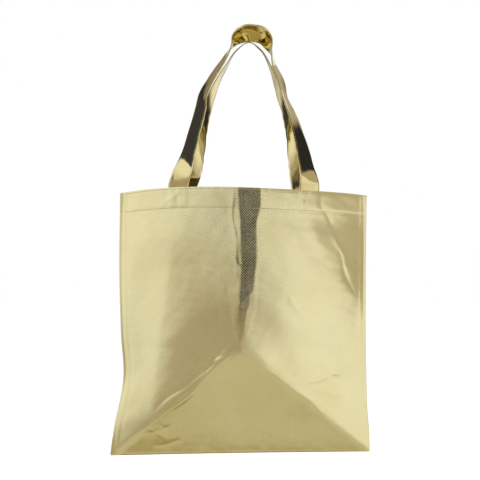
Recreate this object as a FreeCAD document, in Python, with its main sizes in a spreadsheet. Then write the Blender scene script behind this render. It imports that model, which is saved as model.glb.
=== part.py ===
"""Metallic tote-style gift bag, hanging open from its two handles. FreeCAD macro, millimetres.

Frame: +Z up, front towards -Y, origin at the middle of the bottom edge.
The bag is two sheets sewn together along the sides and the bottom, with the seam allowances turned inside,
a folded hem round the mouth, and two folded-strip handles sewn inside the hem.
"""

import FreeCAD, Part
import math
import os

import Sketcher
from FreeCAD import Placement, Rotation, Vector

doc = FreeCAD.newDocument("GiftBag")

# ---------------------------------------------------------------- driving dimensions

DIMENSIONS = [
    # alias, value, meaning
    ("sheet", 0.5, "thickness of the laminated non-woven sheet"),
    ("seam_gap", 0.05, "half of the gap between the front and the back sheet at a seam"),
    ("allowance", 8.0, "seam allowance turned inside the bag"),
    ("hem_level", 354.0, "height of the hem's lower edge above the bag's bottom edge"),
    ("hem_depth", 30.0, "height of the folded hem, whose top is the rim of the mouth"),
    ("foot_level", 0.0, "height of the bottom edge"),
    ("foot_half_width", 190.0, "half of the flat sheet's width, seen at the bottom edge"),
    ("foot_bulge", 1.8, "how far each sheet stands out at the bottom edge"),
    ("foot_corner", 1.5, "side rounding at the bottom edge"),
    ("knee_level", 55.0, "height of the section inside the sloping bottom facet"),
    ("knee_half_width", 184.5, "half width there"),
    ("knee_bulge", 22.0, "bulge there"),
    ("knee_corner", 7.0, "side rounding there"),
    ("belly_level", 157.0, "height of the section where the bag is deepest"),
    ("belly_half_width", 180.5, "half width there"),
    ("belly_bulge", 44.0, "bulge there"),
    ("belly_corner", 9.0, "side rounding there"),
    ("chest_level", 260.0, "height of the section above the belly"),
    ("chest_half_width", 181.0, "half width there"),
    ("chest_bulge", 34.0, "bulge there"),
    ("chest_corner", 14.0, "side rounding there"),
    ("mouth_half_width", 181.0, "half width of the hem and the mouth"),
    ("mouth_bulge", 22.0, "bulge of the hem and the mouth"),
    ("mouth_corner", 16.0, "side rounding of the hem and the mouth"),
    ("strap_width", 28.0, "width of a folded handle strip"),
    ("strap_thickness", 1.2, "thickness of a folded handle strip"),
    ("strap_play", 0.2, "gap between a strip and what it lies against"),
    ("strap_upstand", 5.8, "how far a sewn strip end stands above the rim, up to where the handle flexes"),
    ("front_spacing", 190.0, "distance between the middles of the front handle's two feet"),
    ("back_spacing", 171.0, "distance between the middles of the back handle's two feet"),
    ("front_top_level", 618.5, "height of the front handle's middle line at its top"),
    ("back_top_level", 605.0, "height of the back handle's middle line at its top"),
    ("hang_offset", 6.0, "how far both handles' tops lean to the right of their feet; up to 6 mm"),
    ("thread_radius", 0.25, "radius of the sewing thread"),
    ("stitch_pitch", 3.5, "distance from one stitch to the next"),
    ("stitch_length", 2.7, "length of the thread seen in one stitch"),
    ("hem_row_drop", 29.0, "distance of the lower stitch row below the rim"),
    ("rim_row_drop", 2.0, "distance of the upper stitch row below the rim"),
    ("seam_row_inset", 6.0, "distance of the seam stitches from the folded edge"),
    ("edge_row_inset", 3.0, "distance of a handle's long stitch row from the strip's inner edge"),
]

dims = doc.addObject("Spreadsheet::Sheet", "dims")
for row, (alias, value, meaning) in enumerate(DIMENSIONS, start=1):
    dims.set(f"A{row}", alias)
    dims.set(f"B{row}", str(value))
    dims.set(f"C{row}", meaning)
    dims.setAlias(f"B{row}", alias)
doc.recompute()


def dim(alias):
    """The value of one driving dimension."""
    return float(getattr(dims, alias))


# ---------------------------------------------------------------- helpers

HALF_TURN = Rotation(Vector(0, 0, 1), 180)
SIDES = {"front": -1, "back": 1}
STATIONS = ["foot", "knee", "belly", "chest"]


def origin_plane(body, role):
    """One of the body's own origin planes."""
    return next(f for f in body.Origin.OriginFeatures if f.Role == role)


def rim_level():
    return dim("hem_level") + dim("hem_depth")


def new_body(label):
    body = doc.addObject("PartDesign::Body", label)
    body.Label = label
    return body


def new_sketch(body, name, role, offset):
    """A sketch on one of the body's origin planes, moved by offset."""
    sketch = body.newObject("Sketcher::SketchObject", name)
    sketch.AttachmentSupport = [(origin_plane(body, role), "")]
    sketch.MapMode = "FlatFace"
    sketch.AttachmentOffset = offset
    return sketch


def bind(sketch, constraint, name, expression):
    """Adds a dimensional constraint and binds it to the sheet."""
    index = sketch.addConstraint(constraint)
    sketch.renameConstraint(index, name)
    sketch.setExpression(f"Constraints.{name}", expression)


def crown_radius(half_width, bulge, corner):
    """Radius of the wide middle arc that runs smoothly into two corner arcs."""
    return (half_width**2 + bulge**2 - 2 * half_width * corner) / (2 * (bulge - corner))


def crown_half_angle(half_width, bulge, corner):
    """Angle from the middle arc's crown to where a corner arc takes over."""
    return math.atan2(half_width - corner, crown_radius(half_width, bulge, corner) - bulge)


# ---------------------------------------------------------------- body sheets


def sheet_section(body, station, layers, level):
    """Closed outline of one bulged sheet at one level: outer skin, inner skin and the two seam allowances.

    Each skin is three arcs that run smoothly into each other. The bulge is along the sketch's +Y.
    """
    half, bulge, corner = (dim(f"{station}_{part}") for part in ("half_width", "bulge", "corner"))
    wall = layers * dim("sheet")
    flap = dim("sheet")
    radius = crown_radius(half, bulge, corner)
    spread = crown_half_angle(half, bulge, corner)
    crown = Vector(0, bulge - radius, 0)
    inner_start = math.asin(flap / (corner - wall))
    flap_end = half - dim("allowance")
    inner_x = half - corner + (corner - wall) * math.cos(inner_start)

    offset = Placement(Vector(0, 0, dim(level)), Rotation())
    sketch = new_sketch(body, f"{body.Name}_{station}{layers}", "XY_Plane", offset)
    sketch.setExpression(".AttachmentOffset.Base.z", f"dims.{level}")

    def arc(centre, r, start, end):
        return Part.ArcOfCircle(Part.Circle(centre, Vector(0, 0, 1), r), start, end)

    def line(*points):
        return Part.LineSegment(*(Vector(x, y, 0) for x, y in points))

    turn = math.pi / 2
    right, left = Vector(half - corner, 0, 0), Vector(corner - half, 0, 0)
    geometry = [
        arc(right, corner, 0, turn - spread),
        arc(crown, radius, turn - spread, turn + spread),
        arc(left, corner, turn + spread, 2 * turn),
        arc(right, corner - wall, inner_start, turn - spread),
        arc(crown, radius - wall, turn - spread, turn + spread),
        arc(left, corner - wall, turn + spread, 2 * turn - inner_start),
    ]
    for side in (1, -1):
        geometry += [
            line((side * half, 0), (side * flap_end, 0)),
            line((side * flap_end, 0), (side * flap_end, flap)),
            line((side * flap_end, flap), (side * inner_x, flap)),
        ]
    sketch.addGeometry(geometry, False)

    start, end, centre = 1, 2, 3
    x_axis, y_axis, origin = -1, -2, (-1, 1)
    add = Sketcher.Constraint
    plain = []
    for first in (0, 3):
        plain += [add("Tangent", first, end, first + 1, start), add("Tangent", first + 1, end, first + 2, start)]
    plain += [add("Coincident", k, centre, k + 3, centre) for k in range(3)]
    plain += [
        add("PointOnObject", 0, centre, x_axis),
        add("PointOnObject", 2, centre, x_axis),
        add("PointOnObject", 1, centre, y_axis),
        add("PointOnObject", 0, start, x_axis),
        add("PointOnObject", 2, end, x_axis),
        add("Equal", 0, 2),
        add("Coincident", 8, end, 3, start),
        add("Coincident", 11, end, 5, end),
    ]
    for first, (skin, skin_end) in ((6, (0, start)), (9, (2, end))):
        plain += [
            add("Coincident", skin, skin_end, first, start),
            add("Coincident", first, end, first + 1, start),
            add("Coincident", first + 1, end, first + 2, start),
            add("Horizontal", first),
            add("Vertical", first + 1),
            add("Horizontal", first + 2),
        ]
    plain += [add("Equal", 6, 9), add("Equal", 7, 10)]
    sketch.addConstraint(plain)

    a, b, c = (f"dims.{station}_{part}" for part in ("half_width", "bulge", "corner"))
    bind(sketch, add("Radius", 0, corner), "corner", c)
    bind(sketch, add("Radius", 1, radius), "crown", f"({a}^2 + {b}^2 - 2 * {a} * {c}) / (2 * ({b} - {c}))")
    bind(sketch, add("Radius", 3, corner - wall), "inner_corner", f"{c} - {layers} * dims.sheet")
    bind(sketch, add("DistanceX", *origin, 0, start, half), "half_width", a)
    bind(sketch, add("DistanceX", 6, end, 6, start, dim("allowance")), "allowance", "dims.allowance")
    bind(sketch, add("DistanceY", 7, start, 7, end, flap), "flap", "dims.sheet")
    return sketch


def bottom_fold_sketch(body):
    """L-shaped end view of the bottom seam: the folded edge and the allowance that stands up inside."""
    sketch = new_sketch(body, f"{body.Name}_bottom_fold", "YZ_Plane", Placement())
    wall, rise, reach = dim("sheet"), dim("allowance"), dim("foot_bulge") - dim("sheet") / 2
    corners = [(0, 0), (reach, 0), (reach, wall), (wall, wall), (wall, rise), (0, rise)]
    points = [Vector(x, y, 0) for x, y in corners]
    sketch.addGeometry([Part.LineSegment(p, q) for p, q in zip(points, points[1:] + points[:1])], False)
    add = Sketcher.Constraint
    plain = [add("Coincident", k, 2, (k + 1) % 6, 1) for k in range(6)]
    plain += [add("Horizontal", k) for k in (0, 2, 4)] + [add("Vertical", k) for k in (1, 3, 5)]
    plain += [add("Coincident", 0, 1, -1, 1)]
    sketch.addConstraint(plain)
    bind(sketch, add("DistanceX", 0, 1, 0, 2, reach), "reach", "dims.foot_bulge - dims.sheet / 2")
    bind(sketch, add("DistanceY", 1, 1, 1, 2, wall), "fold", "dims.sheet")
    bind(sketch, add("DistanceX", 4, 2, 4, 1, wall), "flap", "dims.sheet")
    bind(sketch, add("DistanceY", 5, 2, 5, 1, rise), "rise", "dims.allowance")
    return sketch


def make_panel(side):
    """One sheet of the bag: bulged wall, doubled hem band, side and bottom seam allowances."""
    body = new_body(f"{side}_panel")

    wall = body.newObject("PartDesign::AdditiveLoft", f"{side}_wall")
    sections = [sheet_section(body, station, 1, f"{station}_level") for station in STATIONS]
    sections.append(sheet_section(body, "mouth", 1, "hem_level"))
    wall.Profile = sections[0]
    wall.Sections = sections[1:]
    wall.Ruled = False

    hem = body.newObject("PartDesign::Pad", f"{side}_hem")
    hem.Profile = sheet_section(body, "mouth", 2, "hem_level")
    hem.setExpression("Length", "dims.hem_depth")

    fold = body.newObject("PartDesign::Pad", f"{side}_bottom_fold_pad")
    fold.Profile = bottom_fold_sketch(body)
    fold.Midplane = True
    fold.setExpression("Length", "2 * (dims.foot_half_width - dims.foot_corner)")
    body.Tip = fold

    turn = HALF_TURN if side == "front" else Rotation()
    body.Placement = Placement(Vector(0, SIDES[side] * dim("seam_gap"), 0), turn)
    return body


# ---------------------------------------------------------------- handles


def rim_depth(x):
    """Distance of the rim's outer face from the seam plane at a given x on its middle arc."""
    half, bulge, corner = (dim(f"mouth_{part}") for part in ("half_width", "bulge", "corner"))
    radius = crown_radius(half, bulge, corner)
    return dim("seam_gap") + bulge - radius + math.sqrt(radius**2 - x**2)


def rim_heading(x):
    """Angle in degrees between the rim and the X axis at x."""
    half, bulge, corner = (dim(f"mouth_{part}") for part in ("half_width", "bulge", "corner"))
    return math.degrees(math.asin(x / crown_radius(half, bulge, corner)))


def strap_depth(x):
    """Distance from the seam plane to the middle of a strip that lies against the inside of the hem."""
    return rim_depth(x) - 2 * dim("sheet") - dim("strap_play") - dim("strap_thickness") / 2


# One half of each handle, from the foot to the top: share of the rise, share of the half spacing, share of the
# foot's depth, and the strip's twist about its own run, in degrees. Both handles lean in and meet at the top.
HANDLE_RUN = {
    "front": [
        (0.0, 1.0, 1.0, 0),
        (0.1, 0.95, 0.95, 12),
        (0.22, 0.895, 0.86, 35),
        (0.36, 0.805, 0.74, 52),
        (0.52, 0.675, 0.6, 60),
        (0.68, 0.52, 0.44, 70),
        (0.84, 0.355, 0.26, 80),
        (0.945, 0.22, 0.12, 100),
        (1.0, 0.0, 0.05, 130),
    ],
    "back": [
        (0.0, 1.0, 1.0, 0),
        (0.1, 0.935, 0.95, 4),
        (0.22, 0.895, 0.86, 14),
        (0.36, 0.84, 0.74, 36),
        (0.5, 0.74, 0.6, 54),
        (0.66, 0.58, 0.44, 70),
        (0.82, 0.4, 0.26, 80),
        (0.95, 0.2, 0.12, 88),
        (1.0, 0.0, 0.05, 90),
    ],
}


def handle_frames(side):
    """Placements along a handle from its left foot, over the top, to its right foot.

    Local X runs across the strip towards the inside of the loop, local Z along the handle.
    """
    foot_x = dim(f"{side}_spacing") / 2
    foot_depth = strap_depth(foot_x)
    base = rim_level() + dim("strap_upstand") + dim("strap_play")
    rise = dim(f"{side}_top_level") - base
    half = HANDLE_RUN[side]
    stations = []
    for hand, shares in [(-1, half), (1, half[-2::-1])]:
        for share_z, share_x, share_y, twist in shares:
            x = hand * share_x * foot_x + share_z**2 * dim("hang_offset")
            y = SIDES[side] * share_y * foot_depth
            stations.append((Vector(x, y, base + share_z * rise), twist))
    last = len(stations) - 1

    frames = []
    for k, (point, twist) in enumerate(stations):
        if k in (0, last):
            run = Vector(0, 0, 1 if k == 0 else -1)
            twist += rim_heading(foot_x)
        else:
            run = (stations[k + 1][0] - stations[k - 1][0]).normalize()
        inward = Vector(0, 1, 0).cross(run).normalize()
        across = Rotation(run, SIDES[side] * twist).multVec(inward)
        frames.append(Placement(point, Rotation(across, run.cross(across), run, "ZXY")))
    return frames


def strap_section(body, name, frame):
    """The strip's rectangular cross-section at one place along a handle."""
    sketch = new_sketch(body, name, "XY_Plane", frame)
    x, y = dim("strap_width") / 2, dim("strap_thickness") / 2
    points = [Vector(*p, 0) for p in ((-x, -y), (x, -y), (x, y), (-x, y))]
    sketch.addGeometry([Part.LineSegment(p, q) for p, q in zip(points, points[1:] + points[:1])], False)
    add = Sketcher.Constraint
    plain = [add("Coincident", k, 2, (k + 1) % 4, 1) for k in range(4)]
    plain += [add("Horizontal", 0), add("Horizontal", 2), add("Vertical", 1), add("Vertical", 3)]
    plain += [add("Symmetric", 0, 1, 1, 2, -1, 1)]
    sketch.addConstraint(plain)
    bind(sketch, add("DistanceX", 0, 1, 0, 2, 2 * x), "width", "dims.strap_width")
    bind(sketch, add("DistanceY", 1, 1, 1, 2, 2 * y), "thickness", "dims.strap_thickness")
    return sketch


def make_handle_loop(side):
    """The free part of one handle: a flat strip that twists as it rises to the hanging point."""
    body = new_body(f"{side}_handle_loop")
    loft = body.newObject("PartDesign::AdditiveLoft", f"{side}_strip")
    sections = [strap_section(body, f"{side}_strip_{k}", frame) for k, frame in enumerate(handle_frames(side))]
    loft.Profile = sections[0]
    loft.Sections = sections[1:]
    loft.Ruled = False
    body.Tip = loft
    return body


def make_handle_end(side, hand, sign):
    """The sewn end of a handle strip, flat against the inside of the hem and standing a little above the rim."""
    box = doc.addObject("Part::Box", f"{side}_handle_end_{hand}")
    box.Label = box.Name
    box.setExpression("Length", "dims.strap_width")
    box.setExpression("Width", "dims.strap_thickness")
    box.setExpression("Height", "dims.hem_depth + dims.strap_upstand")
    foot_x = sign * dim(f"{side}_spacing") / 2
    turn = Rotation(Vector(0, 0, 1), -SIDES[side] * rim_heading(foot_x))
    middle = Vector(foot_x, SIDES[side] * strap_depth(foot_x), dim("hem_level"))
    corner = turn.multVec(Vector(-dim("strap_width") / 2, -dim("strap_thickness") / 2, 0))
    box.Placement = Placement(middle + corner, turn)
    return box


# ---------------------------------------------------------------- stitching


def stitch(point, along):
    """One visible thread length, centred on point and lying along the given direction."""
    length = dim("stitch_length")
    return Part.makeCylinder(dim("thread_radius"), length, point - along * (length / 2), along)


def stitch_row(label, places):
    """A row of separate stitches as one sub-part."""
    row = doc.addObject("Part::Feature", label)
    row.Label = label
    row.Shape = Part.makeCompound([stitch(point, along) for point, along in places])
    return row


def spaced(length):
    """Distances of the stitches along a row of the given length, evenly spread about its middle."""
    count = int((length - dim("stitch_length")) // dim("stitch_pitch")) + 1
    first = (length - (count - 1) * dim("stitch_pitch")) / 2
    return [first + k * dim("stitch_pitch") for k in range(count)]


def rim_places(side, drop):
    """Stitches on the outer face of the hem band, following its three arcs at a given distance below the rim."""
    half, bulge, corner = (dim(f"mouth_{part}") for part in ("half_width", "bulge", "corner"))
    lift = dim("thread_radius")
    radius, spread = crown_radius(half, bulge, corner), crown_half_angle(half, bulge, corner)
    corner_run = (corner + lift) * (math.pi / 2 - spread)
    crown_run = 2 * (radius + lift) * spread
    places = []
    for s in spaced(2 * corner_run + crown_run):
        if s < corner_run:
            centre_x, centre_y, r, angle = half - corner, 0, corner + lift, s / (corner + lift)
        elif s < corner_run + crown_run:
            centre_x, centre_y, r = 0, bulge - radius, radius + lift
            angle = math.pi / 2 - spread + (s - corner_run) / r
        else:
            centre_x, centre_y, r = corner - half, 0, corner + lift
            angle = math.pi / 2 + spread + (s - corner_run - crown_run) / r
        depth = dim("seam_gap") + centre_y + r * math.sin(angle)
        point = Vector(centre_x + r * math.cos(angle), SIDES[side] * depth, rim_level() - drop)
        places.append((point, Vector(-math.sin(angle), SIDES[side] * math.cos(angle), 0)))
    return places


def seam_places(start, end):
    """Stitches on both faces of the two seam allowances, along a straight line in the seam plane."""
    run = end - start
    along = Vector(run).normalize()
    depth = dim("seam_gap") + dim("sheet") + dim("thread_radius")
    return [
        (start + along * s + Vector(0, face * depth, 0), along)
        for s in spaced(run.Length)
        for face in SIDES.values()
    ]


def side_seam_places(sign):
    """Stitches up one side of the bag, inside the folded edge, from the bottom seam to the rim."""
    inset = dim("seam_row_inset")
    corners = [Vector(sign * (dim(f"{name}_half_width") - inset), 0, dim(f"{name}_level")) for name in STATIONS]
    corners.append(Vector(sign * (dim("mouth_half_width") - inset), 0, rim_level()))
    corners[0] += (corners[1] - corners[0]) * (dim("allowance") / corners[1].z)
    return [place for a, b in zip(corners, corners[1:]) for place in seam_places(a, b)]


def edge_places(side):
    """Stitches along both faces of a handle, near the edge on the inside of the loop."""
    inset = dim("strap_width") / 2 - dim("edge_row_inset")
    lift = dim("strap_thickness") / 2 + dim("thread_radius")
    places = []
    for face in (-lift, lift):
        curve = Part.BSplineCurve()
        curve.interpolate([frame.multVec(Vector(inset, face, 0)) for frame in handle_frames(side)])
        edge = curve.toShape()
        for run in spaced(edge.Length):
            u = edge.getParameterByLength(run)
            places.append((edge.valueAt(u), edge.tangentAt(u)))
    return places


# ---------------------------------------------------------------- the assembly

sub_parts = []
for side in SIDES:
    sub_parts.append(make_panel(side))
    sub_parts.append(make_handle_loop(side))
    sub_parts.append(make_handle_end(side, "left", -1))
    sub_parts.append(make_handle_end(side, "right", 1))
    sub_parts.append(stitch_row(f"{side}_hem_stitching", rim_places(side, dim("hem_row_drop"))))
    sub_parts.append(stitch_row(f"{side}_rim_stitching", rim_places(side, dim("rim_row_drop"))))
    sub_parts.append(stitch_row(f"{side}_handle_edge_stitching", edge_places(side)))

sub_parts.append(stitch_row("left_seam_stitching", side_seam_places(-1)))
sub_parts.append(stitch_row("right_seam_stitching", side_seam_places(1)))
bottom_reach = dim("foot_half_width") - dim("allowance")
bottom_level = dim("seam_row_inset")
bottom_row = seam_places(Vector(-bottom_reach, 0, bottom_level), Vector(bottom_reach, 0, bottom_level))
sub_parts.append(stitch_row("bottom_seam_stitching", bottom_row))

doc.recompute()

# ---------------------------------------------------------------- checks and export

for obj in doc.Objects:
    bad = [state for state in obj.State if state in ("Invalid", "Error")]
    if bad:
        raise RuntimeError(f"{obj.Name} failed: {obj.State} {obj.getStatusString()}")

os.makedirs("parts", exist_ok=True)
for obj in sub_parts:
    shape = obj.Shape
    if shape.isNull() or not shape.isValid() or not shape.Solids:
        raise RuntimeError(f"{obj.Label} has no valid solid")
    if obj.Label.endswith("handle_loop"):
        # A loft that turns inside out still counts as valid, but it loses most of its volume.
        flat_volume = shape.Area * dim("strap_thickness") / 2
        if shape.Volume < 0.9 * flat_volume:
            raise RuntimeError(f"{obj.Label} is folded over: {shape.Volume:.0f} of {flat_volume:.0f} mm3")
    shape.exportStep(os.path.join("parts", f"{obj.Label}.step"))
    print(f"{obj.Label}: {len(shape.Solids)} solids, {shape.Volume / 1000:.2f} cm3")
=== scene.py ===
"""A metallic gold gift tote bag that hangs open by its two handles.

Lengths are millimetres until a mesh is made, and -Y is the bag's front. A sheet's shape is given as its
depth from the seam plane, and its mesh follows the cloth's own rows and columns, so the emboss isn't
stretched over a bulge.
"""

import math

import bpy
import numpy as np
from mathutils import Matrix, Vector


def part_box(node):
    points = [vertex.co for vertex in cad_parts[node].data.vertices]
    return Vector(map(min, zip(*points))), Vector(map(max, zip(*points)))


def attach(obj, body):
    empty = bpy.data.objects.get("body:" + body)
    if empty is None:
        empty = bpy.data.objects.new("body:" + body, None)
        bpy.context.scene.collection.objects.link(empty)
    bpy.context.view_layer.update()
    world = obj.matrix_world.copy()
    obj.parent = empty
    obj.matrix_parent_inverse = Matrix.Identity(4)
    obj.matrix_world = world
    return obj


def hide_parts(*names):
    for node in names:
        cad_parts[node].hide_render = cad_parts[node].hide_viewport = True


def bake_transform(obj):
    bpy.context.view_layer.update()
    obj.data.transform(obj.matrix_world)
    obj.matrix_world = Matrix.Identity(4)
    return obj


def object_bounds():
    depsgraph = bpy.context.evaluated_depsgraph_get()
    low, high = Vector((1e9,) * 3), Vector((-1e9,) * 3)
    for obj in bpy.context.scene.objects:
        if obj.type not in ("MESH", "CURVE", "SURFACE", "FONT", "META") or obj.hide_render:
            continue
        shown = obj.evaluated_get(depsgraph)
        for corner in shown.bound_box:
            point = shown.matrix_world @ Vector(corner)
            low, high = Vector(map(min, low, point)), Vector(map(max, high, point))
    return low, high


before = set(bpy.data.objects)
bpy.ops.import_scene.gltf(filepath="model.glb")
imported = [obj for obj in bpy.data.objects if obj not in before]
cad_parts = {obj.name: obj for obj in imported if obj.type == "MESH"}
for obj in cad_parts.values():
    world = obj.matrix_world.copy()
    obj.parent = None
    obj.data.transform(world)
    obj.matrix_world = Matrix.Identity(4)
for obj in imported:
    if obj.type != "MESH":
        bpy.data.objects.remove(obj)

MM = 0.001
CAD_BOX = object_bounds()
SIDES = {"front": -1, "back": 1}  # each side's direction along Y


def node_box(node):
    """The lowest and the highest corner of a CAD node, in millimetres."""
    low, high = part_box(node)
    return np.array(low) / MM, np.array(high) / MM


# ---------------------------------------------------------------- sizes

# From the CAD nodes: half the width, and the levels of the rim, the two stitch rows and the hem's lower end.
HALF_WIDTH, _, RIM = node_box("front_panel")[1]
HEM_ROW = float(np.mean([corner[2] for corner in node_box("front_hem_stitching")]))
RIM_ROW = float(np.mean([corner[2] for corner in node_box("front_rim_stitching")]))
HEM_END = node_box("front_handle_end_left")[0][2]

# Of the visual model: the grid of a sheet, its cloth and folds, the cloth's place at a seam, and the sewing.
STEP = 2.0
CLOTH = 0.4
RIM_FOLD_RADIUS = 0.4
SEAM_FOLD_RADIUS = 0.33
ALLOWANCE = 8.0
SEAM_DEPTH = 1.0
STRAP_THICKNESS = 1.2
STITCH_PITCH = 3.5
STITCH_LENGTH = 2.7
THREAD_RADIUS = {"sheet": 0.38, "seam": 0.12, "strap": 0.25}

# How the bag hangs: level of the point where the bulge's faces meet, and how far the rim stands to the right.
APEX = 157.0
SWAY = 4.6


# ---------------------------------------------------------------- shaping helpers


def smoothstep(t):
    """0 up to 0, 1 from 1, and a smooth step between."""
    t = np.clip(t, 0, 1)
    return t * t * (3 - 2 * t)


def smooth_min(a, b, soft):
    """The lesser of two values, with a rounded corner where they are closer than soft."""
    h = np.clip(0.5 + 0.5 * (b - a) / soft, 0, 1)
    return b * (1 - h) + a * h - soft * h * (1 - h)


def smooth_max(a, b, soft):
    """The greater of two values, rounded in the same way."""
    return -smooth_min(-a, -b, soft)


def through(knots, values, at):
    """A smooth curve through the values at the knots."""
    knots, values, at = np.asarray(knots, float), np.asarray(values, float), np.asarray(at, float)
    slope = np.gradient(values, knots, axis=0)
    k = np.clip(np.searchsorted(knots, at) - 1, 0, len(knots) - 2)
    step = knots[k + 1] - knots[k]
    t = np.clip((at - knots[k]) / step, 0, 1)
    if values.ndim > 1:
        t, step = t[..., None], step[..., None]
    start = (1 + 2 * t) * (1 - t) ** 2 * values[k] + t * (1 - t) ** 2 * step * slope[k]
    return start + t * t * (3 - 2 * t) * values[k + 1] + t * t * (t - 1) * step * slope[k + 1]


def facets(x, z, seed, size, count=7):
    """Soft flat facets like crumpled foil, from -1 to 1, as a mean of zigzags in random directions."""
    rng = np.random.default_rng(seed)
    total = 0
    for _ in range(count):
        angle = rng.uniform(0, math.pi)
        shift = rng.uniform(0, 1)
        scale = size * rng.uniform(0.7, 1.8)
        bend = 0.25 * np.sin((x * math.sin(angle) - z * math.cos(angle)) / scale * 1.3 + 6 * shift)
        wave = (x * math.cos(angle) + z * math.sin(angle)) / scale + shift + bend
        zigzag = 2 * np.abs(2 * (wave - np.floor(wave + 0.5))) - 1
        total = total + zigzag * (1 - 0.35 * zigzag**2)
    return total / count


def crease(x, z, start, end, height, width):
    """A wavy ridge along a line, fading out at both ends. A negative height makes a valley."""
    (x0, z0), (x1, z1) = start, end
    length = math.hypot(x1 - x0, z1 - z0)
    ux, uz = (x1 - x0) / length, (z1 - z0) / length
    along = ((x - x0) * ux + (z - z0) * uz) / length
    across = (x - x0) * uz - (z - z0) * ux
    across = across + 0.018 * length * np.sin(7.5 * along + x0) + 0.006 * length * np.sin(19 * along + z0)
    ends = smoothstep(along / 0.25) * smoothstep((1 - along) / 0.25)
    return height * ends * np.exp(-np.sqrt((across / width) ** 2 + 0.15) * 1.6)


# ---------------------------------------------------------------- the two sheets

# The hanging sheet's outline: the place of its left and right edge at a level, and how far its rim and its
# bottom edge are lifted at a place along them.
LEFT_EDGE = [
    (0, -190.5),
    (30, -186.6),
    (49, -183.4),
    (78, -176.8),
    (111, -171.6),
    (177, -174.9),
    (250, -176.8),
    (384, -176),
]
RIGHT_EDGE = [(0, 189), (30, 188.2), (67, 185.6), (122, 183.8), (250, 182.8), (384, 184.5)]
RIM_LIFT = [(-190, -4), (-176, -3.5), (-143, 0.4), (70, 0.4), (117, -2), (156, -4.5), (190, -8)]
BOTTOM_LIFT = [(-190, -3.4), (0, 0.3), (190, 2.5)]

# Each wrinkle as x and level of its start and its end, its height, and its width.
WRINKLES = {
    "front": [
        ((4, 162), (-164, 16), 1.5, 2.3),
        ((-8, 166), (-130, 60), -1.1, 2.6),
        ((-2, 160), (176, 10), 0.55, 2.0),
        ((-10, 400), (-8, 236), 0.4, 2.4),
        ((16, 300), (2, 156), 0.28, 3.4),
        ((-26, 268), (-4, 158), -0.4, 3.8),
        ((-12, 226), (0, 152), 0.35, 2.4),
        ((24, 240), (6, 158), 0.2, 3.0),
        ((-54, 282), (-20, 196), 0.5, 3.6),
        ((-34, 214), (-6, 168), -0.4, 2.4),
        ((-18, 300), (4, 262), 0.35, 2.2),
        ((-10, 212), (18, 238), 0.25, 2.0),
        ((-84, 140), (-40, 118), 0.6, 3.0),
        ((-74, 150), (-16, 142), -0.7, 2.8),
        ((-60, 128), (-14, 148), 0.7, 2.6),
        ((-46, 120), (-22, 138), -0.5, 2.2),
        ((34, 300), (16, 188), -0.2, 4.0),
        ((112, 380), (170, 226), -0.7, 3.4),
        ((126, 350), (150, 286), 0.6, 2.6),
        ((130, 330), (160, 262), 0.7, 4.0),
        ((78, 104), (168, 124), 1.0, 4.4),
        ((94, 100), (158, 82), 0.6, 3.6),
        ((100, 130), (160, 104), -0.6, 4.0),
        ((84, 92), (126, 70), 0.45, 3.2),
        ((-144, 30), (-92, 46), -0.6, 3.2),
        ((-136, 44), (-104, 20), 0.5, 3.0),
        ((-122, 51), (-92, 25), -0.45, 3.0),
        ((-130, 12), (-80, 22), -0.5, 3.0),
        ((66, 240), (104, 170), 0.6, 5.0),
        ((-120, 352), (-84, 384), 0.5, 4.0),
        ((-88, 352), (-96, 386), -0.5, 3.0),
        ((84, 350), (104, 386), -0.6, 3.0),
    ],
    "back": [
        ((6, 160), (-170, 18), 1.0, 3.0),
        ((-2, 158), (158, 22), 1.1, 3.0),
        ((3, 392), (5, 190), 0.7, 2.4),
        ((24, 270), (6, 165), -0.6, 3.2),
        ((-20, 240), (0, 162), 0.6, 3.0),
        ((-120, 384), (-140, 240), 0.8, 5.0),
        ((96, 200), (52, 130), 0.8, 3.6),
        ((-96, 120), (-150, 80), 0.7, 3.0),
        ((120, 52), (92, 28), -0.8, 2.4),
    ],
}

# The crown above the apex: its depth at the apex, how much less it is at the rim, and the slope beside its
# ridge. The ridge drifts to the right on its way up. Its flat top mirrors the dark place behind the camera as
# the band in the middle, and is widest in the hem. Beside it the sheet turns down to the slope.
CROWN_DEPTH = 49.0
CROWN_LOSS = 21.0
RIDGE_SLOPE = 0.10
RIDGE_START = -2.0
RIDGE_DRIFT = 14.0
RIDGE_HEM_DRIFT = 2.0
FLAT_START = 2.5
FLAT_GROWTH = 6.0
FLAT_HEM_GROWTH = 4.5
TURN_START = 9.0
TURN_LOSS = 4.0

# The nearly flat faces below: the depth they reach at the apex, half the width of the lower one's foot, and
# the height over which the two upper ones pass into the crown.
FACE_DEPTH = 48.0
FACE_HALF_WIDTH = 184.0
FACE_PASSAGE = 105.0

# The front sheet's knee: an upright line, left of which the cloth falls back more steeply.
KNEE_PLACE = -114.0
KNEE_LEVEL = 190.0
KNEE_LEAN = 0.13
KNEE_SLOPE = 0.085


def edge_x(hand, z):
    """Place of the left (-1) or right (1) edge at a level."""
    knots = LEFT_EDGE if hand < 0 else RIGHT_EDGE
    return through(*zip(*knots), z)


def seam_wave(x, z):
    """The seam plane isn't quite flat: both sheets move forwards and back together."""
    return 1.3 * np.sin(z / 61 + x / 150) * smoothstep(z / 60) * smoothstep((RIM - z) / 80)


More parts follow.
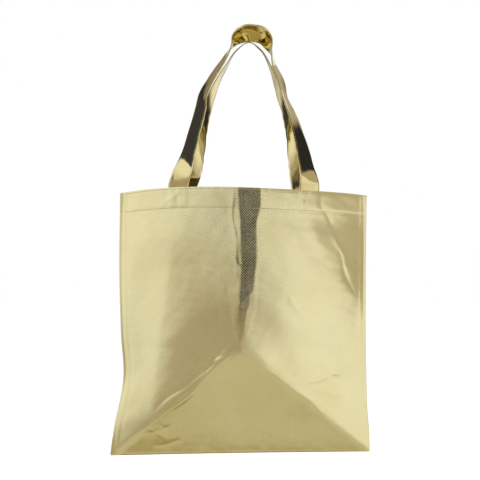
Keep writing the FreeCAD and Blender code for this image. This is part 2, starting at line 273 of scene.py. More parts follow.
def crown_depth(x, z, share, side):
    """The upper part of a sheet; share is how far a place is from the middle to an edge, from 0 to 1."""
    rise = np.clip((z - APEX) / (RIM - APEX), 0, 1)
    crown = CROWN_DEPTH - CROWN_LOSS * rise**1.8
    power = 2.4 + 2.4 * rise
    at_hem = smoothstep((z - HEM_END + 20) / 30)
    drift = RIDGE_START + RIDGE_DRIFT * np.minimum(rise / 0.5, 1) ** 0.9 + RIDGE_HEM_DRIFT * at_hem
    ridge = -SIDES[side] * drift
    flat = FLAT_START + FLAT_GROWTH * np.minimum(rise / 0.8, 1) ** 0.8 + FLAT_HEM_GROWTH * at_hem
    turn = TURN_START - TURN_LOSS * rise
    past_flat = (np.abs(x - ridge) - flat) / turn
    bent = np.clip(past_flat, 0, 1)
    fall = turn * (bent**3 - bent**4 / 2 + np.maximum(past_flat - 1, 0))
    return (crown - RIDGE_SLOPE * fall) * (1 - share**power)


def face_depth(level):
    """Depth of a nearly flat face at a distance from its foot, given as a level on the lower face."""
    t = np.clip(level / APEX, 0, 1)
    return SEAM_DEPTH + FACE_DEPTH * (1 - (1 - t) ** 1.12) + 0.12 * np.maximum(level - APEX, 0)


def bulge_depth(x, z, share, side):
    """The bulge of a sheet: the lower face, and the two upper ones that pass into the crown."""
    from_middle = np.hypot(x + 1.5 * SIDES[side], 7) - 4
    fold = APEX * (1 - from_middle / FACE_HALF_WIDTH)
    upper_face = face_depth(fold)
    passage = smoothstep((z - fold) / FACE_PASSAGE)
    upper = upper_face + (crown_depth(x, z, share, side) - upper_face) * passage
    depth = smooth_min(face_depth(z), upper, 3.5)
    return smooth_max(depth, SEAM_DEPTH, 0.8)


def knee_depth(x, z, from_left):
    """How much further back the front sheet lies to the left of its knee."""
    height = smoothstep((z - 50) / 30) * smoothstep((318 - z) / 70)
    past = KNEE_PLACE + KNEE_LEAN * (z - KNEE_LEVEL) - x
    return KNEE_SLOPE * height * (np.sqrt(past**2 + 16) + past) / 2 * smoothstep(from_left / 60)


def crumple_depth(x, z, side):
    """The foil's facets in three sizes, calmer near the bottom edge."""
    seed = 11 if side == "front" else 29
    calm = 0.35 + 0.65 * smoothstep((z - 20) / 60)
    large = 0.9 * facets(x, z, seed, 120) + 0.35 * facets(x, z, seed + 1, 46)
    return calm * large + 0.16 * facets(x, z, seed + 2, 17)


def sewn_depth(x, z, side, inside):
    """Grooves of the two stitch rows, the doubled hem, and the handle ends that show through it."""
    depth = 0
    for level in (HEM_ROW, RIM_ROW):
        depth = depth - 0.16 * np.exp(-(((z - level) / 1.3) ** 2))
    depth = depth + 0.18 * smoothstep((z - HEM_END + 1) / 4) * inside
    for hand in ("left", "right"):
        low, high = node_box(f"{side}_handle_end_{hand}")
        middle, half = (low[0] + high[0]) / 2 + SWAY, (high[0] - low[0]) / 2
        depth = depth + 0.3 * smoothstep((half + 3 - np.abs(x - middle)) / 7) * smoothstep((z - HEM_END) / 5)
    return depth


def sheet_depth(x, z, side):
    """How far a sheet's middle stands from the seam plane at a place on it."""
    left, right = edge_x(-1, z), edge_x(1, z)
    share = np.clip(np.abs((2 * x - left - right) / (right - left)), 0, 1)
    from_edge = np.minimum(x - left, right - x)
    inside = smoothstep((from_edge - 3) / 14)

    depth = bulge_depth(x, z, share, side)
    # The sheet steps back where the turned-in allowance behind it ends.
    depth = depth - 0.28 * smoothstep((from_edge - ALLOWANCE) / 2.5) * smoothstep(from_edge / 3)
    if side == "front":
        depth = depth - knee_depth(x, z, x - left)
    for start, end, height, width in WRINKLES[side]:
        depth = depth + inside * crease(x, z, start, end, height, width)
    return depth + inside * crumple_depth(x, z, side) + sewn_depth(x, z, side, inside)


def make_grid(side):
    """Places and sheet coordinates of one sheet's outer layer, bottom row first, left column first."""
    rows = int(round(RIM / STEP)) + 1
    columns = int(round(2 * HALF_WIDTH / STEP)) + 1
    place = np.zeros((rows, columns, 3))
    sheet = np.zeros((rows, columns, 2))
    for j, z in enumerate(np.linspace(0, RIM, rows)):
        fine = np.linspace(edge_x(-1, z), edge_x(1, z), 4 * columns)
        depth = sheet_depth(fine, np.full_like(fine, z), side)
        length = np.concatenate([[0], np.cumsum(np.hypot(np.diff(fine), np.diff(depth)))])
        even = np.linspace(0, length[-1], columns)
        x = np.interp(even, length, fine)
        share = z / RIM
        lift = (1 - share) * through(*zip(*BOTTOM_LIFT), x) + share * through(*zip(*RIM_LIFT), x)
        depth = sheet_depth(x, np.full_like(x, z), side)
        place[j] = np.stack([x, SIDES[side] * depth + seam_wave(x, z), z + lift], axis=1)
        sheet[j] = np.stack([even - length[-1] / 2, np.full(columns, z)], axis=1)
    return place, sheet


def unit(v):
    """Vectors scaled to length 1."""
    return v / np.maximum(np.linalg.norm(v, axis=-1, keepdims=True), 1e-9)


def grid_normals(place, side):
    """Directions out of a sheet's outer side at its grid's places."""
    normal = unit(np.cross(np.gradient(place, axis=1), np.gradient(place, axis=0)))
    return normal if side == "front" else -normal


def fold_over(edge, normal, outward, radius):
    """Rows that carry a sheet's edge round a half circle, to the sheet's inner side."""
    centre = edge - radius * normal
    angles = np.linspace(0, math.pi, 6)[1:-1]
    return [centre + radius * (math.cos(a) * normal + math.sin(a) * outward) for a in angles]


def add_object(name, vertices, faces, materials, uv=None, smooth=True):
    """A mesh object from vertices in millimetres. uv has one pair per vertex, also in millimetres."""
    mesh = bpy.data.meshes.new(name)
    mesh.from_pydata((np.asarray(vertices, float) * MM).tolist(), [], [list(map(int, f)) for f in faces])
    for material in materials:
        mesh.materials.append(material)
    if uv is not None:
        layer = mesh.uv_layers.new(name="sheet")
        corner = np.zeros(len(mesh.loops), np.int32)
        mesh.loops.foreach_get("vertex_index", corner)
        layer.data.foreach_set("uv", (np.asarray(uv, float)[corner] * MM).ravel())
    mesh.polygons.foreach_set("use_smooth", [smooth] * len(mesh.polygons))
    mesh.update()
    obj = bpy.data.objects.new(name, mesh)
    bpy.context.scene.collection.objects.link(obj)
    return obj


def quads(index):
    """The faces of a block of vertex numbers, row by row."""
    a, b, c, d = index[:-1, :-1], index[:-1, 1:], index[1:, 1:], index[1:, :-1]
    return np.stack([a, b, c, d], axis=-1).reshape(-1, 4)


def make_panel(side, place, sheet):
    """One sheet with its folded hem and its turned-in seam allowances, as one continuous mesh."""
    normal = grid_normals(place, side)
    rows, columns = place.shape[:2]
    count = rows * columns
    main = np.arange(count).reshape(rows, columns)
    points, coords = [place.reshape(-1, 3)], [sheet.reshape(-1, 2)]

    def turn_in(grids, layer_lines, radius, step):
        """Adds the fold and the layer behind it at the edge that is the grids' first line."""
        nonlocal count
        edge_place, edge_normal, edge_sheet, edge_index = grids
        outward = unit(edge_place[0] - edge_place[2])
        lines = fold_over(edge_place[0], edge_normal[0], outward, radius)
        lines += [edge_place[k] - 2 * radius * edge_normal[k] for k in range(layer_lines)]
        index = [edge_index[0]]
        for k, line in enumerate(lines):
            points.append(line)
            coords.append(edge_sheet[0] + (k + 1) * np.array(step))
            index.append(np.arange(count, count + len(line)))
            count += len(line)
        return np.stack(index)

    upright = (place, normal, sheet, main)
    sideways = [np.swapaxes(grid, 0, 1) for grid in upright]
    hem_lines = int(round((RIM - HEM_END) / STEP)) + 1
    seam_lines = int(round(ALLOWANCE / STEP)) + 1
    hem = turn_in([grid[::-1] for grid in upright], hem_lines, RIM_FOLD_RADIUS, (0, STEP))
    bottom = turn_in(upright, seam_lines, SEAM_FOLD_RADIUS, (0, -STEP))
    left = turn_in(sideways, seam_lines, SEAM_FOLD_RADIUS, (-STEP, 0))
    right = turn_in([grid[::-1] for grid in sideways], seam_lines, SEAM_FOLD_RADIUS, (STEP, 0))

    blocks = (main, hem, bottom[::-1], left.T[:, ::-1], right.T)
    faces = np.concatenate([quads(block) for block in blocks])
    if side == "back":
        faces = faces[:, ::-1]
    slots = [MATERIALS["film"], MATERIALS["lining"], MATERIALS["lining"]]
    cloth = add_object(f"{side}_sheet", np.concatenate(points), faces, slots, uv=np.concatenate(coords))
    thick = cloth.modifiers.new("cloth", "SOLIDIFY")
    thick.thickness = CLOTH * MM
    thick.offset = 0
    thick.material_offset = 1
    thick.material_offset_rim = 2
    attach(cloth, "bag")
    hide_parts(f"{side}_panel")
    return normal


# ---------------------------------------------------------------- sewing thread


def make_thread(name, runs, radius):
    """Stitches as one mesh. Each run is the places along a stitch and the directions out of the cloth."""
    vertices, faces = [], []
    around = 7
    for places, outward in runs:
        tangent = unit(np.gradient(places, axis=0))
        out = unit(outward - np.sum(outward * tangent, axis=1, keepdims=True) * tangent)
        across = np.cross(tangent, out)
        t = np.linspace(-1, 1, len(places))
        girth = radius * np.sqrt(np.clip(1 - t**6, 0.02, 1))
        lift = radius * (0.75 - 1.9 * t**4)
        base = len(vertices)
        for k in range(len(places)):
            for angle in np.linspace(0, 2 * math.pi, around, endpoint=False):
                ply = 1 + 0.12 * math.sin(3 * angle + 5 * t[k])
                ring = girth[k] * ply * (math.cos(angle) * across[k] + math.sin(angle) * out[k])
                vertices.append(places[k] + lift[k] * out[k] + ring)
        for k in range(len(places) - 1):
            for m in range(around):
                a, b = base + k * around + m, base + k * around + (m + 1) % around
                faces.append((a, b, b + around, a + around))
        faces.append(tuple(base + m for m in reversed(range(around))))
        faces.append(tuple(base + (len(places) - 1) * around + m for m in range(around)))
    return add_object(name, vertices, faces, [MATERIALS["thread"]])


def stitch_spans(length, margin):
    """Start and end of each stitch along a seam of the given length."""
    count = int((length - 2 * margin) / STITCH_PITCH)
    first = (length - count * STITCH_PITCH) / 2
    return [(first + k * STITCH_PITCH, first + k * STITCH_PITCH + STITCH_LENGTH) for k in range(count)]


def run_length(line):
    """Distance from a line's start to each of its places."""
    return np.concatenate([[0], np.cumsum(np.linalg.norm(np.diff(line, axis=0), axis=1))])


def sewn_line(line, normal, margin, lift=0.0):
    """The stitches of a row along a line of places, raised off it by lift."""
    length = run_length(line)
    runs = []
    for start, end in stitch_spans(length[-1], margin):
        at = np.linspace(start, end, 7)
        places = np.stack([np.interp(at, length, line[:, c]) for c in range(3)], axis=1)
        outward = np.stack([np.interp(at, length, normal[:, c]) for c in range(3)], axis=1)
        runs.append((places + lift * outward, outward))
    return runs


def sheet_row(place, normal, level):
    """The places and normals of a sheet at one level, between two of its rows."""
    row = level / RIM * (len(place) - 1)
    k, t = int(row), row - int(row)
    above = min(k + 1, len(place) - 1)
    return place[k] * (1 - t) + place[above] * t, unit(normal[k] * (1 - t) + normal[above] * t)


def make_sheet_stitches(side, place, normal):
    """The two rows that hold the folded hem."""
    for kind, level in (("hem", HEM_ROW), ("rim", RIM_ROW)):
        line, outward = sheet_row(place, normal, level)
        runs = sewn_line(line, outward, margin=8.0, lift=CLOTH / 2)
        thread = make_thread(f"{side}_{kind}_thread", runs, THREAD_RADIUS["sheet"])
        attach(thread, "bag")
        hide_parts(f"{side}_{kind}_stitching")


def make_seam_stitches(place):
    """The rows inside the side and bottom seams, in the seam plane behind the front sheet's edges."""
    inset = 3
    lines = {
        "left": place[6:, inset].copy(),
        "right": place[6:, -1 - inset].copy(),
        "bottom": place[inset, 8:-8].copy(),
    }
    for name, line in lines.items():
        line[:, 1] += SEAM_DEPTH
        forwards = np.broadcast_to([0.0, -1.0, 0.0], line.shape)
        runs = sewn_line(line, forwards, margin=4.0)
        thread = make_thread(f"{name}_seam_thread", runs, THREAD_RADIUS["seam"])
        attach(thread, "bag")
        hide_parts(f"{name}_seam_stitching")


# ---------------------------------------------------------------- the handles

# A handle from its left foot over the top to its right foot: share of the rise, share of half the feet's
# spacing, share of the foot's depth, twist in degrees, and how far the strip bows out across its width.
STRAP_RUN = {
    "front": [
        (0.0, -1.0, 1.0, 0, 0.2),
        (0.05, -0.965, 0.97, 10, 0.8),
        (0.12, -0.905, 0.90, 24, 1.2),
        (0.20, -0.855, 0.81, 41, 0.6),
        (0.34, -0.775, 0.74, 49, 0.4),
        (0.50, -0.685, 0.64, 53, 0.4),
        (0.59, -0.655, 0.55, 60, 1.0),
        (0.69, -0.545, 0.45, 65, 0.8),
        (0.82, -0.375, 0.28, 70, 0.6),
        (0.90, -0.285, 0.16, 84, 0.5),
        (0.962, -0.205, 0.09, 116, 0.5),
        (0.994, -0.10, 0.05, 134, 0.5),
        (1.0, 0.06, 0.05, 136, 0.5),
        (0.985, 0.19, 0.08, 134, 0.5),
        (0.94, 0.285, 0.14, 120, 0.5),
        (0.87, 0.355, 0.22, 90, 0.5),
        (0.79, 0.405, 0.30, 74, 0.6),
        (0.68, 0.515, 0.45, 66, 0.8),
        (0.57, 0.59, 0.56, 71, 1.0),
        (0.46, 0.70, 0.66, 68, 0.4),
        (0.32, 0.825, 0.76, 53, 0.4),
        (0.20, 0.905, 0.81, 42, 0.6),
        (0.12, 0.95, 0.90, 37, 0.4),
        (0.05, 0.985, 0.96, 21, 0.4),
        (0.0, 1.0, 1.0, 0, 0.2),
    ],
    "back": [
        (0.0, -1.0, 1.0, 0, 0.2),
        (0.1, -0.91, 0.91, 3, 0.8),
        (0.22, -0.86, 0.80, 12, 1.4),
        (0.36, -0.80, 0.74, 36, 1.6),
        (0.5, -0.715, 0.6, 54, 1.4),
        (0.66, -0.58, 0.44, 74, 0.8),
        (0.82, -0.4, 0.26, 88, 0.5),
        (0.95, -0.2, 0.12, 98, 0.3),
        (1.0, 0.0, 0.05, 103, 0.3),
        (0.95, 0.2, 0.12, 98, 0.3),
        (0.82, 0.4, 0.26, 88, 0.5),
        (0.66, 0.57, 0.44, 74, 0.8),
        (0.5, 0.75, 0.6, 52, 1.4),
        (0.36, 0.865, 0.74, 32, 1.6),
        (0.22, 0.925, 0.80, 12, 1.4),
        (0.1, 0.965, 0.91, 3, 0.8),
        (0.0, 1.0, 1.0, 0, 0.2),
    ],
}

# The tops lean to the right of the feet, and the strip's middle stays below the top of the CAD loop's box.
# Where the handles pass each other they are moved apart, most at the passing level. There is a small gap
# between a sewn foot and the hem, and a handle leaves the hem over a length above the rim.
TOP_LEAN = 6.0
TOP_BELOW = {"front": 13.0, "back": 3.0}
PASSING_GAP = 4.2
PASSING_LEVEL = 535.0
PASSING_REACH = 62.0
SEWN_GAP = 0.55
STRAP_STEP = 1.5


def strap_path(side):
    """Places, directions across and out of the strip, its bow and its width, along a whole handle."""
    loop_low, loop_high = node_box(f"{side}_handle_loop")
    end_low, end_high = node_box(f"{side}_handle_end_right")
    foot = (end_low + end_high) / 2
    width = end_high[0] - end_low[0]
    base = loop_low[2]
    top = loop_high[2] - TOP_BELOW[side]
    values = []
    for share_z, share_x, share_y, twist, bow in STRAP_RUN[side]:
        z = base + share_z * (top - base)
        x = share_x * foot[0] + share_z**2 * TOP_LEAN + SWAY * z / RIM
        apart = PASSING_GAP * math.exp(-(((z - PASSING_LEVEL) / PASSING_REACH) ** 2))
        values.append((x, share_y * foot[1] + SIDES[side] * apart, z, SIDES[side] * twist, bow))
    values = np.array(values)
    knots = run_length(values[:, :3])
    loop = through(knots, values, np.arange(0, knots[-1], STRAP_STEP))
    sewn = np.arange(HEM_END, base, STEP)
    left = np.tile(values[0], (len(sewn), 1))
    left[:, 2] = sewn
    right = np.tile(values[-1], (len(sewn), 1))
    right[:, 2] = sewn[::-1]
    path = np.concatenate([left, loop, right])

    centre = path[:, :3]
    tangent = unit(np.gradient(centre, axis=0))
    inward = unit(np.cross([0.0, 1.0, 0.0], tangent))
    angle = np.radians(path[:, 3])[:, None]
    across = unit(inward * np.cos(angle) + np.cross(tangent, inward) * np.sin(angle))
    face = unit(np.cross(across, tangent)) * SIDES[side]
    return centre, across, face, path[:, 4], width


def strap_surface(side, lift, share, path):
    """A line of places along a strip: share is from -1 to 1 across it, lift is out of its middle."""
    centre, across, face, bow, width = path
    run = run_length(centre)
    s = np.full(len(centre), share)
    v = s * width / 2
    seed = 41 if side == "front" else 57
    pucker = 0.45 * facets(run, v, seed, 13, 4) * smoothstep((s - 0.2) / 0.8)
    crumple = 0.8 * facets(run, v, seed + 1, 60, 5) + 0.15 * facets(run, v, seed + 2, 19, 4)
    at_top = smoothstep((centre[:, 2] - 596) / 16)
    folds = facets(run, 9 * s, seed + 5, 24, 3) * at_top
    free = smoothstep((centre[:, 2] - RIM - 10) / 40)
    rise = bow * (0.5 - s**2) + free * (pucker + crumple + folds)
    wavy_edge = 0.35 * np.sin(run / 3.1 + 2 * np.sin(run / 11)) * smoothstep(s)
    place = centre + across * (v + free * wavy_edge)[:, None] + face * rise[:, None]

    # Below the rim and a little above it, the strip lies against the inner side of the hem.
    level = np.minimum(place[:, 2], RIM)
    behind = 2 * RIM_FOLD_RADIUS + CLOTH / 2 + STRAP_THICKNESS / 2 + SEWN_GAP
    hem_depth = sheet_depth(place[:, 0], level, side) - behind
    hem_y = SIDES[side] * hem_depth + seam_wave(place[:, 0], level)
    sewn = 1 - smoothstep((place[:, 2] - RIM - 2) / 22)
    place[:, 1] += sewn * (hem_y - place[:, 1])
    return place + face * lift


def make_strap(side):
    """A handle strip with rounded edges as one closed mesh, and the stitch row that closes its fold."""
    path = strap_path(side)
    centre, _, face, _, width = path
    half, half_width = STRAP_THICKNESS / 2, width / 2
    rounded_share = 1.035
    turn = half_width + 0.5
    steps = np.linspace(-1, 1, 15)
    lines = [strap_surface(side, half, s, path) for s in steps]
    lines.append(strap_surface(side, 0.0, rounded_share, path))
    lines += [strap_surface(side, -half, s, path) for s in steps[::-1]]
    lines.append(strap_surface(side, 0.0, -rounded_share, path))
    u = np.concatenate([steps * half_width, [turn], 2 * turn - steps[::-1] * half_width, [3 * turn]])

    vertices = np.stack(lines, axis=1).reshape(-1, 3)
    index = np.arange(len(vertices)).reshape(len(centre), len(lines))
    faces = [tuple(f) for f in quads(np.concatenate([index, index[:, :1]], axis=1))]
    faces.append(tuple(index[0][::-1]))
    faces.append(tuple(index[-1]))
    if side == "back":
        faces = [f[::-1] for f in faces]
    uv = np.stack(np.broadcast_arrays(u[None, :], run_length(centre)[:, None]), axis=-1).reshape(-1, 2)
    strap = add_object(f"{side}_handle_strap", vertices, faces, [MATERIALS["strip"]], uv=uv)
    bend_strap(strap)
    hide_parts(f"{side}_handle_loop", f"{side}_handle_end_left", f"{side}_handle_end_right")

    from_edge = 3.0
    above_hem = centre[:, 2] > RIM + 6
    runs = []
    for way in (1, -1):
        line = strap_surface(side, way * half, 1 - from_edge / half_width, path)
        runs += sewn_line(line[above_hem], way * face[above_hem], margin=2.0)
    thread = make_thread(f"{side}_handle_edge_thread", runs, THREAD_RADIUS["strap"])
    bend_strap(thread)
    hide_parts(f"{side}_handle_edge_stitching")


def bend_strap(piece):
    """Bakes the piece's placement into its mesh; the strip's shape already keeps it sewn to the bag below the
    rim.
    """
    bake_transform(piece)


# ---------------------------------------------------------------- materials


class Graph:
    """Short names for making and linking a material's or the world's nodes."""

    def __init__(self, tree):
        self.tree = tree

    def node(self, kind, **settings):
        """A new node with these settings."""
        made = self.tree.nodes.new(kind)
        for name, value in settings.items():
            setattr(made, name, value)
        return made

    def link(self, source, target):
        """Feeds an input from another node's output, a number or a color."""
        if isinstance(source, (int, float)):
            target.default_value = source
        elif isinstance(source, tuple):
            target.default_value = source if len(source) == len(target.default_value) else (*source, 1.0)
        else:
            self.tree.links.new(source, target)

    def math(self, operation, *values):
        """The result of one operation on numbers."""
        made = self.node("ShaderNodeMath", operation=operation)
        for k, value in enumerate(values):
            self.link(value, made.inputs[k])
        return made.outputs[0]

    def ramp(self, value, low, high, out_low=0.0, out_high=1.0):
        """Smooth change of value from low to high, mapped to the output range."""
        made = self.node("ShaderNodeMapRange", interpolation_type="SMOOTHSTEP")
        for k, v in enumerate((value, low, high, out_low, out_high)):
            self.link(v, made.inputs[k])
        return made.outputs[0]

    def window(self, value, low, low_full, high_full, high):
        """1 between the two middle limits, and smoothly down to 0 at the outer ones."""
        rising = self.ramp(value, low, low_full)
        return self.math("MULTIPLY", rising, self.ramp(value, high_full, high, 1.0, 0.0))

    def darken(self, light, share, amount):
        """The light with this amount of it missing where share is 1."""
        return self.math("MULTIPLY", light, self.math("SUBTRACT", 1.0, self.math("MULTIPLY", share, amount)))

    def blend(self, share, a, b):
        """The number a where share is 0, b where it is 1."""
        made = self.node("ShaderNodeMix", data_type="FLOAT")
        for k, value in zip((0, 2, 3), (share, a, b)):
            self.link(value, made.inputs[k])
        return made.outputs[0]

    def mix(self, share, a, b):
        """The color a where share is 0, b where it is 1."""
        made = self.node("ShaderNodeMix", data_type="RGBA")
        self.link(share, made.inputs[0])
        self.link(a, made.inputs[6])
        self.link(b, made.inputs[7])
        return made.outputs[2]

    def noise(self, vector, scale, detail, roughness):
        """Cloudy noise from 0 to 1; scale is how many clouds there are in a metre."""
        made = self.node("ShaderNodeTexNoise")
        self.link(vector, made.inputs["Vector"])
        self.link(float(scale), made.inputs["Scale"])
        self.link(detail, made.inputs["Detail"])
        self.link(roughness, made.inputs["Roughness"])
        return made.outputs["Fac"]

    def bump(self, shader, height, strength, distance):
        """Gives a shader small relief from a height; distance is in metres."""
        made = self.node("ShaderNodeBump")
        self.link(strength, made.inputs["Strength"])
        self.link(distance, made.inputs["Distance"])
        self.link(height, made.inputs["Height"])
        self.link(made.outputs[0], shader.inputs["Normal"])


def new_material(name):
    """A material with its node graph and its main shader."""
    material = bpy.data.materials.new(name)
    material.use_nodes = True
    graph = Graph(material.node_tree)
    shader = material.node_tree.nodes["Principled BSDF"]
    return material, graph, shader


def film_material(name, color, emboss, grain, roughness):
    """Metallised film on non-woven cloth: a fine diamond emboss, the cloth's fibres, and uneven shine."""
    material, graph, shader = new_material(name)
    sheet = graph.node("ShaderNodeUVMap", uv_map="sheet").outputs[0]
    parts = graph.node("ShaderNodeSeparateXYZ")
    graph.link(sheet, parts.inputs[0])
    u, v = parts.outputs[0], parts.outputs[1]
    pitch = 0.0026
    wave = math.pi / pitch / 1.414
    one = graph.math("SINE", graph.math("MULTIPLY", graph.math("ADD", u, v), wave))
    two = graph.math("SINE", graph.math("MULTIPLY", graph.math("SUBTRACT", u, v), wave))
    groove = graph.math("MINIMUM", graph.math("ABSOLUTE", one), graph.math("ABSOLUTE", two))
    dimple = graph.ramp(groove, 0.0, 0.24)
    fibre = graph.noise(sheet, 900, 4.0, 0.65)
    cloud = graph.noise(sheet, 26, 3.0, 0.55)
    broad = graph.noise(sheet, 9, 2.0, 0.5)
    worn = tuple(c * part for c, part in zip(color, (0.97, 0.955, 0.9)))
    graph.link(graph.mix(graph.ramp(broad, 0.35, 0.65), color, worn), shader.inputs["Base Color"])
    graph.link(1.0, shader.inputs["Metallic"])
    graph.link(graph.ramp(cloud, 0.3, 0.7, roughness, roughness + 0.09), shader.inputs["Roughness"])
    height = graph.math("ADD", graph.math("MULTIPLY", dimple, emboss), graph.math("MULTIPLY", fibre, grain))
    height = graph.math("ADD", height, graph.math("MULTIPLY", cloud, 4 * grain))
    graph.bump(shader, height, 1.0, 0.00004)
    return material


def lining_material():
    """The sheet's inner side: matte cream non-woven cloth with spot bonds and loose fibres."""
    material, graph, shader = new_material("cream_nonwoven")
    sheet = graph.node("ShaderNodeUVMap", uv_map="sheet").outputs[0]
    fibre = graph.noise(sheet, 700, 5.0, 0.7)
    bonds = graph.node("ShaderNodeTexVoronoi")
    graph.link(sheet, bonds.inputs["Vector"])
    graph.link(650.0, bonds.inputs["Scale"])
    spot = graph.ramp(bonds.outputs["Distance"], 0.15, 0.4)
    color = graph.mix(fibre, (0.56, 0.50, 0.36), (0.78, 0.73, 0.58))
    graph.link(color, shader.inputs["Base Color"])
    graph.link(0.9, shader.inputs["Roughness"])
    graph.bump(shader, graph.math("ADD", spot, fibre), 0.5, 0.0002)
    return material


def thread_material():
    """Gold-beige sewing thread with a twisted ply."""
    material, graph, shader = new_material("gold_thread")
    place = graph.node("ShaderNodeTexCoord").outputs["Object"]
    ply = graph.node("ShaderNodeTexWave", bands_direction="DIAGONAL")
    graph.link(place, ply.inputs["Vector"])
    graph.link(900.0, ply.inputs["Scale"])
    color = graph.mix(ply.outputs["Fac"], (0.34, 0.27, 0.12), (0.60, 0.51, 0.29))
    graph.link(color, shader.inputs["Base Color"])
    graph.link(0.5, shader.inputs["Roughness"])
    graph.link(0.3, shader.inputs["Metallic"])
    graph.bump(shader, ply.outputs["Fac"], 0.4, 0.0001)
    return material


MATERIALS = {
    "film": film_material("gold_film", (0.84, 0.762, 0.448), emboss=0.7, grain=0.5, roughness=0.085),
    "strip": film_material("gold_strip", (0.80, 0.70, 0.36), emboss=0.0, grain=0.1, roughness=0.05),
    "lining": lining_material(),
    "thread": thread_material(),
}


# ---------------------------------------------------------------- studio


def wall_light(graph, x, y, turn, tilt):
    """How bright the studio's walls are in a direction, from 0 to 1.

    turn is the angle to the right of straight ahead of the bag's front or back, and tilt the angle above
    level, both in degrees. x and y are the direction's own parts. The film mirrors all of this.
    """
    # The left wall is brightest far round, and brighter high up than low down near the middle.
    left_turn = graph.math("SUBTRACT", turn, graph.math("MULTIPLY", tilt, 0.9))
    far_left = graph.ramp(left_turn, -54.0, -44.0, 1.0, 0.87)
    left_wall = graph.blend(graph.ramp(left_turn, -44.0, -18.0), far_left, 0.45)
    left_wall = graph.math("MAXIMUM", left_wall, graph.ramp(tilt, -6.0, 18.0, 0.45, 0.77))

    # The right wall is even, with a darker upper corner.
    near_right = graph.ramp(tilt, -10.0, 20.0, 0.60, 0.93)
    right_wall = graph.blend(graph.ramp(turn, 12.0, 28.0), near_right, 0.97)
    corner = graph.ramp(graph.math("ADD", turn, graph.math("MULTIPLY", tilt, 1.4)), 45.0, 53.0)
    corner = graph.math("MULTIPLY", corner, graph.ramp(turn, 12.0, 18.0))
    right_wall = graph.darken(right_wall, corner, 0.46)
    wall = graph.blend(graph.ramp(turn, -3.0, 3.0), left_wall, right_wall)

    # The dark place behind the camera; there is one like it behind the bag.
    upright = graph.window(turn, -9.5, -7.5, 7.0, 8.0)
    behind_camera = graph.math("MULTIPLY", upright, graph.ramp(tilt, -20.0, 8.0))
    wall = graph.darken(wall, behind_camera, 0.96)

    # The dark places at both sides of the bag, which the twisted handles mirror.
    low = graph.ramp(graph.math("ABSOLUTE", tilt), 36.0, 52.0, 1.0, 0.0)
    beside = graph.math("MULTIPLY", graph.window(y, -0.36, -0.27, 0.5, 0.75), low)
    wall = graph.darken(wall, beside, 0.94)

    # A dim place high up on the left, behind the bag.
    left_side = graph.ramp(x, -0.2, 0.0, 1.0, 0.0)
    high_left = graph.math("MULTIPLY", graph.window(y, 0.42, 0.52, 0.86, 0.94), left_side)
    high_left = graph.math("MULTIPLY", high_left, graph.window(tilt, 14.0, 22.0, 48.0, 58.0))
    return graph.darken(wall, high_left, 0.66)


def make_world():
    """A white studio with dark places behind the camera and at both sides, and a floor that darkens down."""
    world = bpy.data.worlds.new("studio")
    bpy.context.scene.world = world
    world.use_nodes = True
    world.node_tree.nodes.clear()
    graph = Graph(world.node_tree)
    parts = graph.node("ShaderNodeSeparateXYZ")
    graph.link(graph.node("ShaderNodeTexCoord").outputs["Generated"], parts.inputs[0])
    x, y, z = parts.outputs
    degrees = 57.2958
    turn = graph.math("MULTIPLY", graph.math("ARCTAN2", x, graph.math("ABSOLUTE", y)), degrees)
    tilt = graph.math("MULTIPLY", graph.math("ARCSINE", z), degrees)

    wall = wall_light(graph, x, y, turn, tilt)
    warmth = graph.mix(graph.ramp(wall, 0.35, 0.8), (1.0, 0.86, 0.66), (1.0, 1.0, 1.0))
    warmth = graph.mix(graph.ramp(wall, 0.05, 0.22), (0.9, 0.9, 1.3), warmth)
    shade = graph.node("ShaderNodeVectorMath", operation="SCALE")
    graph.link(warmth, shade.inputs[0])
    graph.link(wall, shade.inputs["Scale"])
    light = shade.outputs[0]

    # The floor from its far part to the part under the bag: where each color is reached and where it begins.
    for reached, begins, color in (
        (-30.0, -22.0, (0.62, 0.585, 0.47)),
        (-53.5, -49.5, (0.44, 0.36, 0.18)),
        (-64.0, -54.5, (0.20, 0.105, 0.01)),
    ):
        light = graph.mix(graph.ramp(tilt, reached, begins, 1.0, 0.0), light, color)
    ceiling = (0.96, 0.96, 0.96)
    light = graph.mix(graph.ramp(tilt, 45.0, 60.0), light, ceiling)

    # The camera itself sees a plain white backdrop.
    paths = graph.node("ShaderNodeLightPath")
    seen = graph.mix(paths.outputs["Is Camera Ray"], light, (1.0, 1.0, 1.0))
    background = graph.node("ShaderNodeBackground")
    graph.link(seen, background.inputs[0])
    graph.link(1.0, background.inputs[1])
    out = graph.node("ShaderNodeOutputWorld")
    graph.link(background.outputs[0], out.inputs[0])


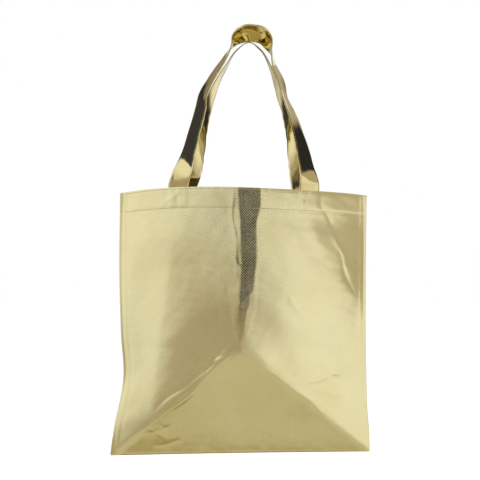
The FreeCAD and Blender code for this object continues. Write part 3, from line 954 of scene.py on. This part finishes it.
def make_floor():
    """A plain pale floor well below the hanging bag, glowing a little to fade into the white backdrop."""
    size, level = 6000, -260
    corners = [(-size, -size, level), (size, -size, level), (size, size, level), (-size, size, level)]
    material, graph, shader = new_material("pale_floor")
    place = graph.node("ShaderNodeTexCoord").outputs["Object"]
    grain = graph.noise(place, 40, 4.0, 0.6)
    graph.link(graph.mix(grain, (0.86, 0.86, 0.85), (0.9, 0.9, 0.89)), shader.inputs["Base Color"])
    graph.link(0.8, shader.inputs["Roughness"])
    graph.link((1.0, 1.0, 1.0), shader.inputs["Emission Color"])
    graph.link(0.5, shader.inputs["Emission Strength"])
    floor = add_object("studio_base", corners, [(0, 1, 2, 3)], [material], smooth=False)
    floor.visible_glossy = False


def make_lights():
    """Three soft boxes that the film doesn't mirror: left and right of the camera, and above the bag."""
    aim = Vector((0, 0, 0.3))
    for name, place, size, power in (
        ("left_box", (-1.9, -1.6, 1.3), 1.4, 5.8),
        ("right_box", (1.9, -1.6, 1.0), 1.4, 5.8),
        ("top_box", (0.1, 0.3, 2.4), 1.6, 8.0),
    ):
        data = bpy.data.lights.new(name, "AREA")
        data.size = size
        data.energy = power
        lamp = bpy.data.objects.new(name, data)
        lamp.location = place
        lamp.visible_glossy = False
        lamp.rotation_euler = (aim - Vector(place)).to_track_quat("-Z", "Y").to_euler()
        bpy.context.scene.collection.objects.link(lamp)


def make_camera():
    """Level, straight on, half way up the bag with its handles."""
    low, high = CAD_BOX
    data = bpy.data.cameras.new("camera")
    data.lens = 61.35
    data.sensor_width = 36
    camera = bpy.data.objects.new("camera", data)
    camera.location = (-0.0007, -1.2, (low[2] + high[2]) / 2 - 0.002)
    camera.rotation_euler = (math.radians(90), 0, 0)
    bpy.context.scene.collection.objects.link(camera)
    bpy.context.scene.camera = camera


# ---------------------------------------------------------------- the bag

for side in SIDES:
    places, coordinates = make_grid(side)
    normals = make_panel(side, places, coordinates)
    make_sheet_stitches(side, places, normals)
    if side == "front":
        make_seam_stitches(places)
    make_strap(side)

make_world()
make_floor()
make_lights()
make_camera()
bpy.context.scene.view_settings.view_transform = "Standard"
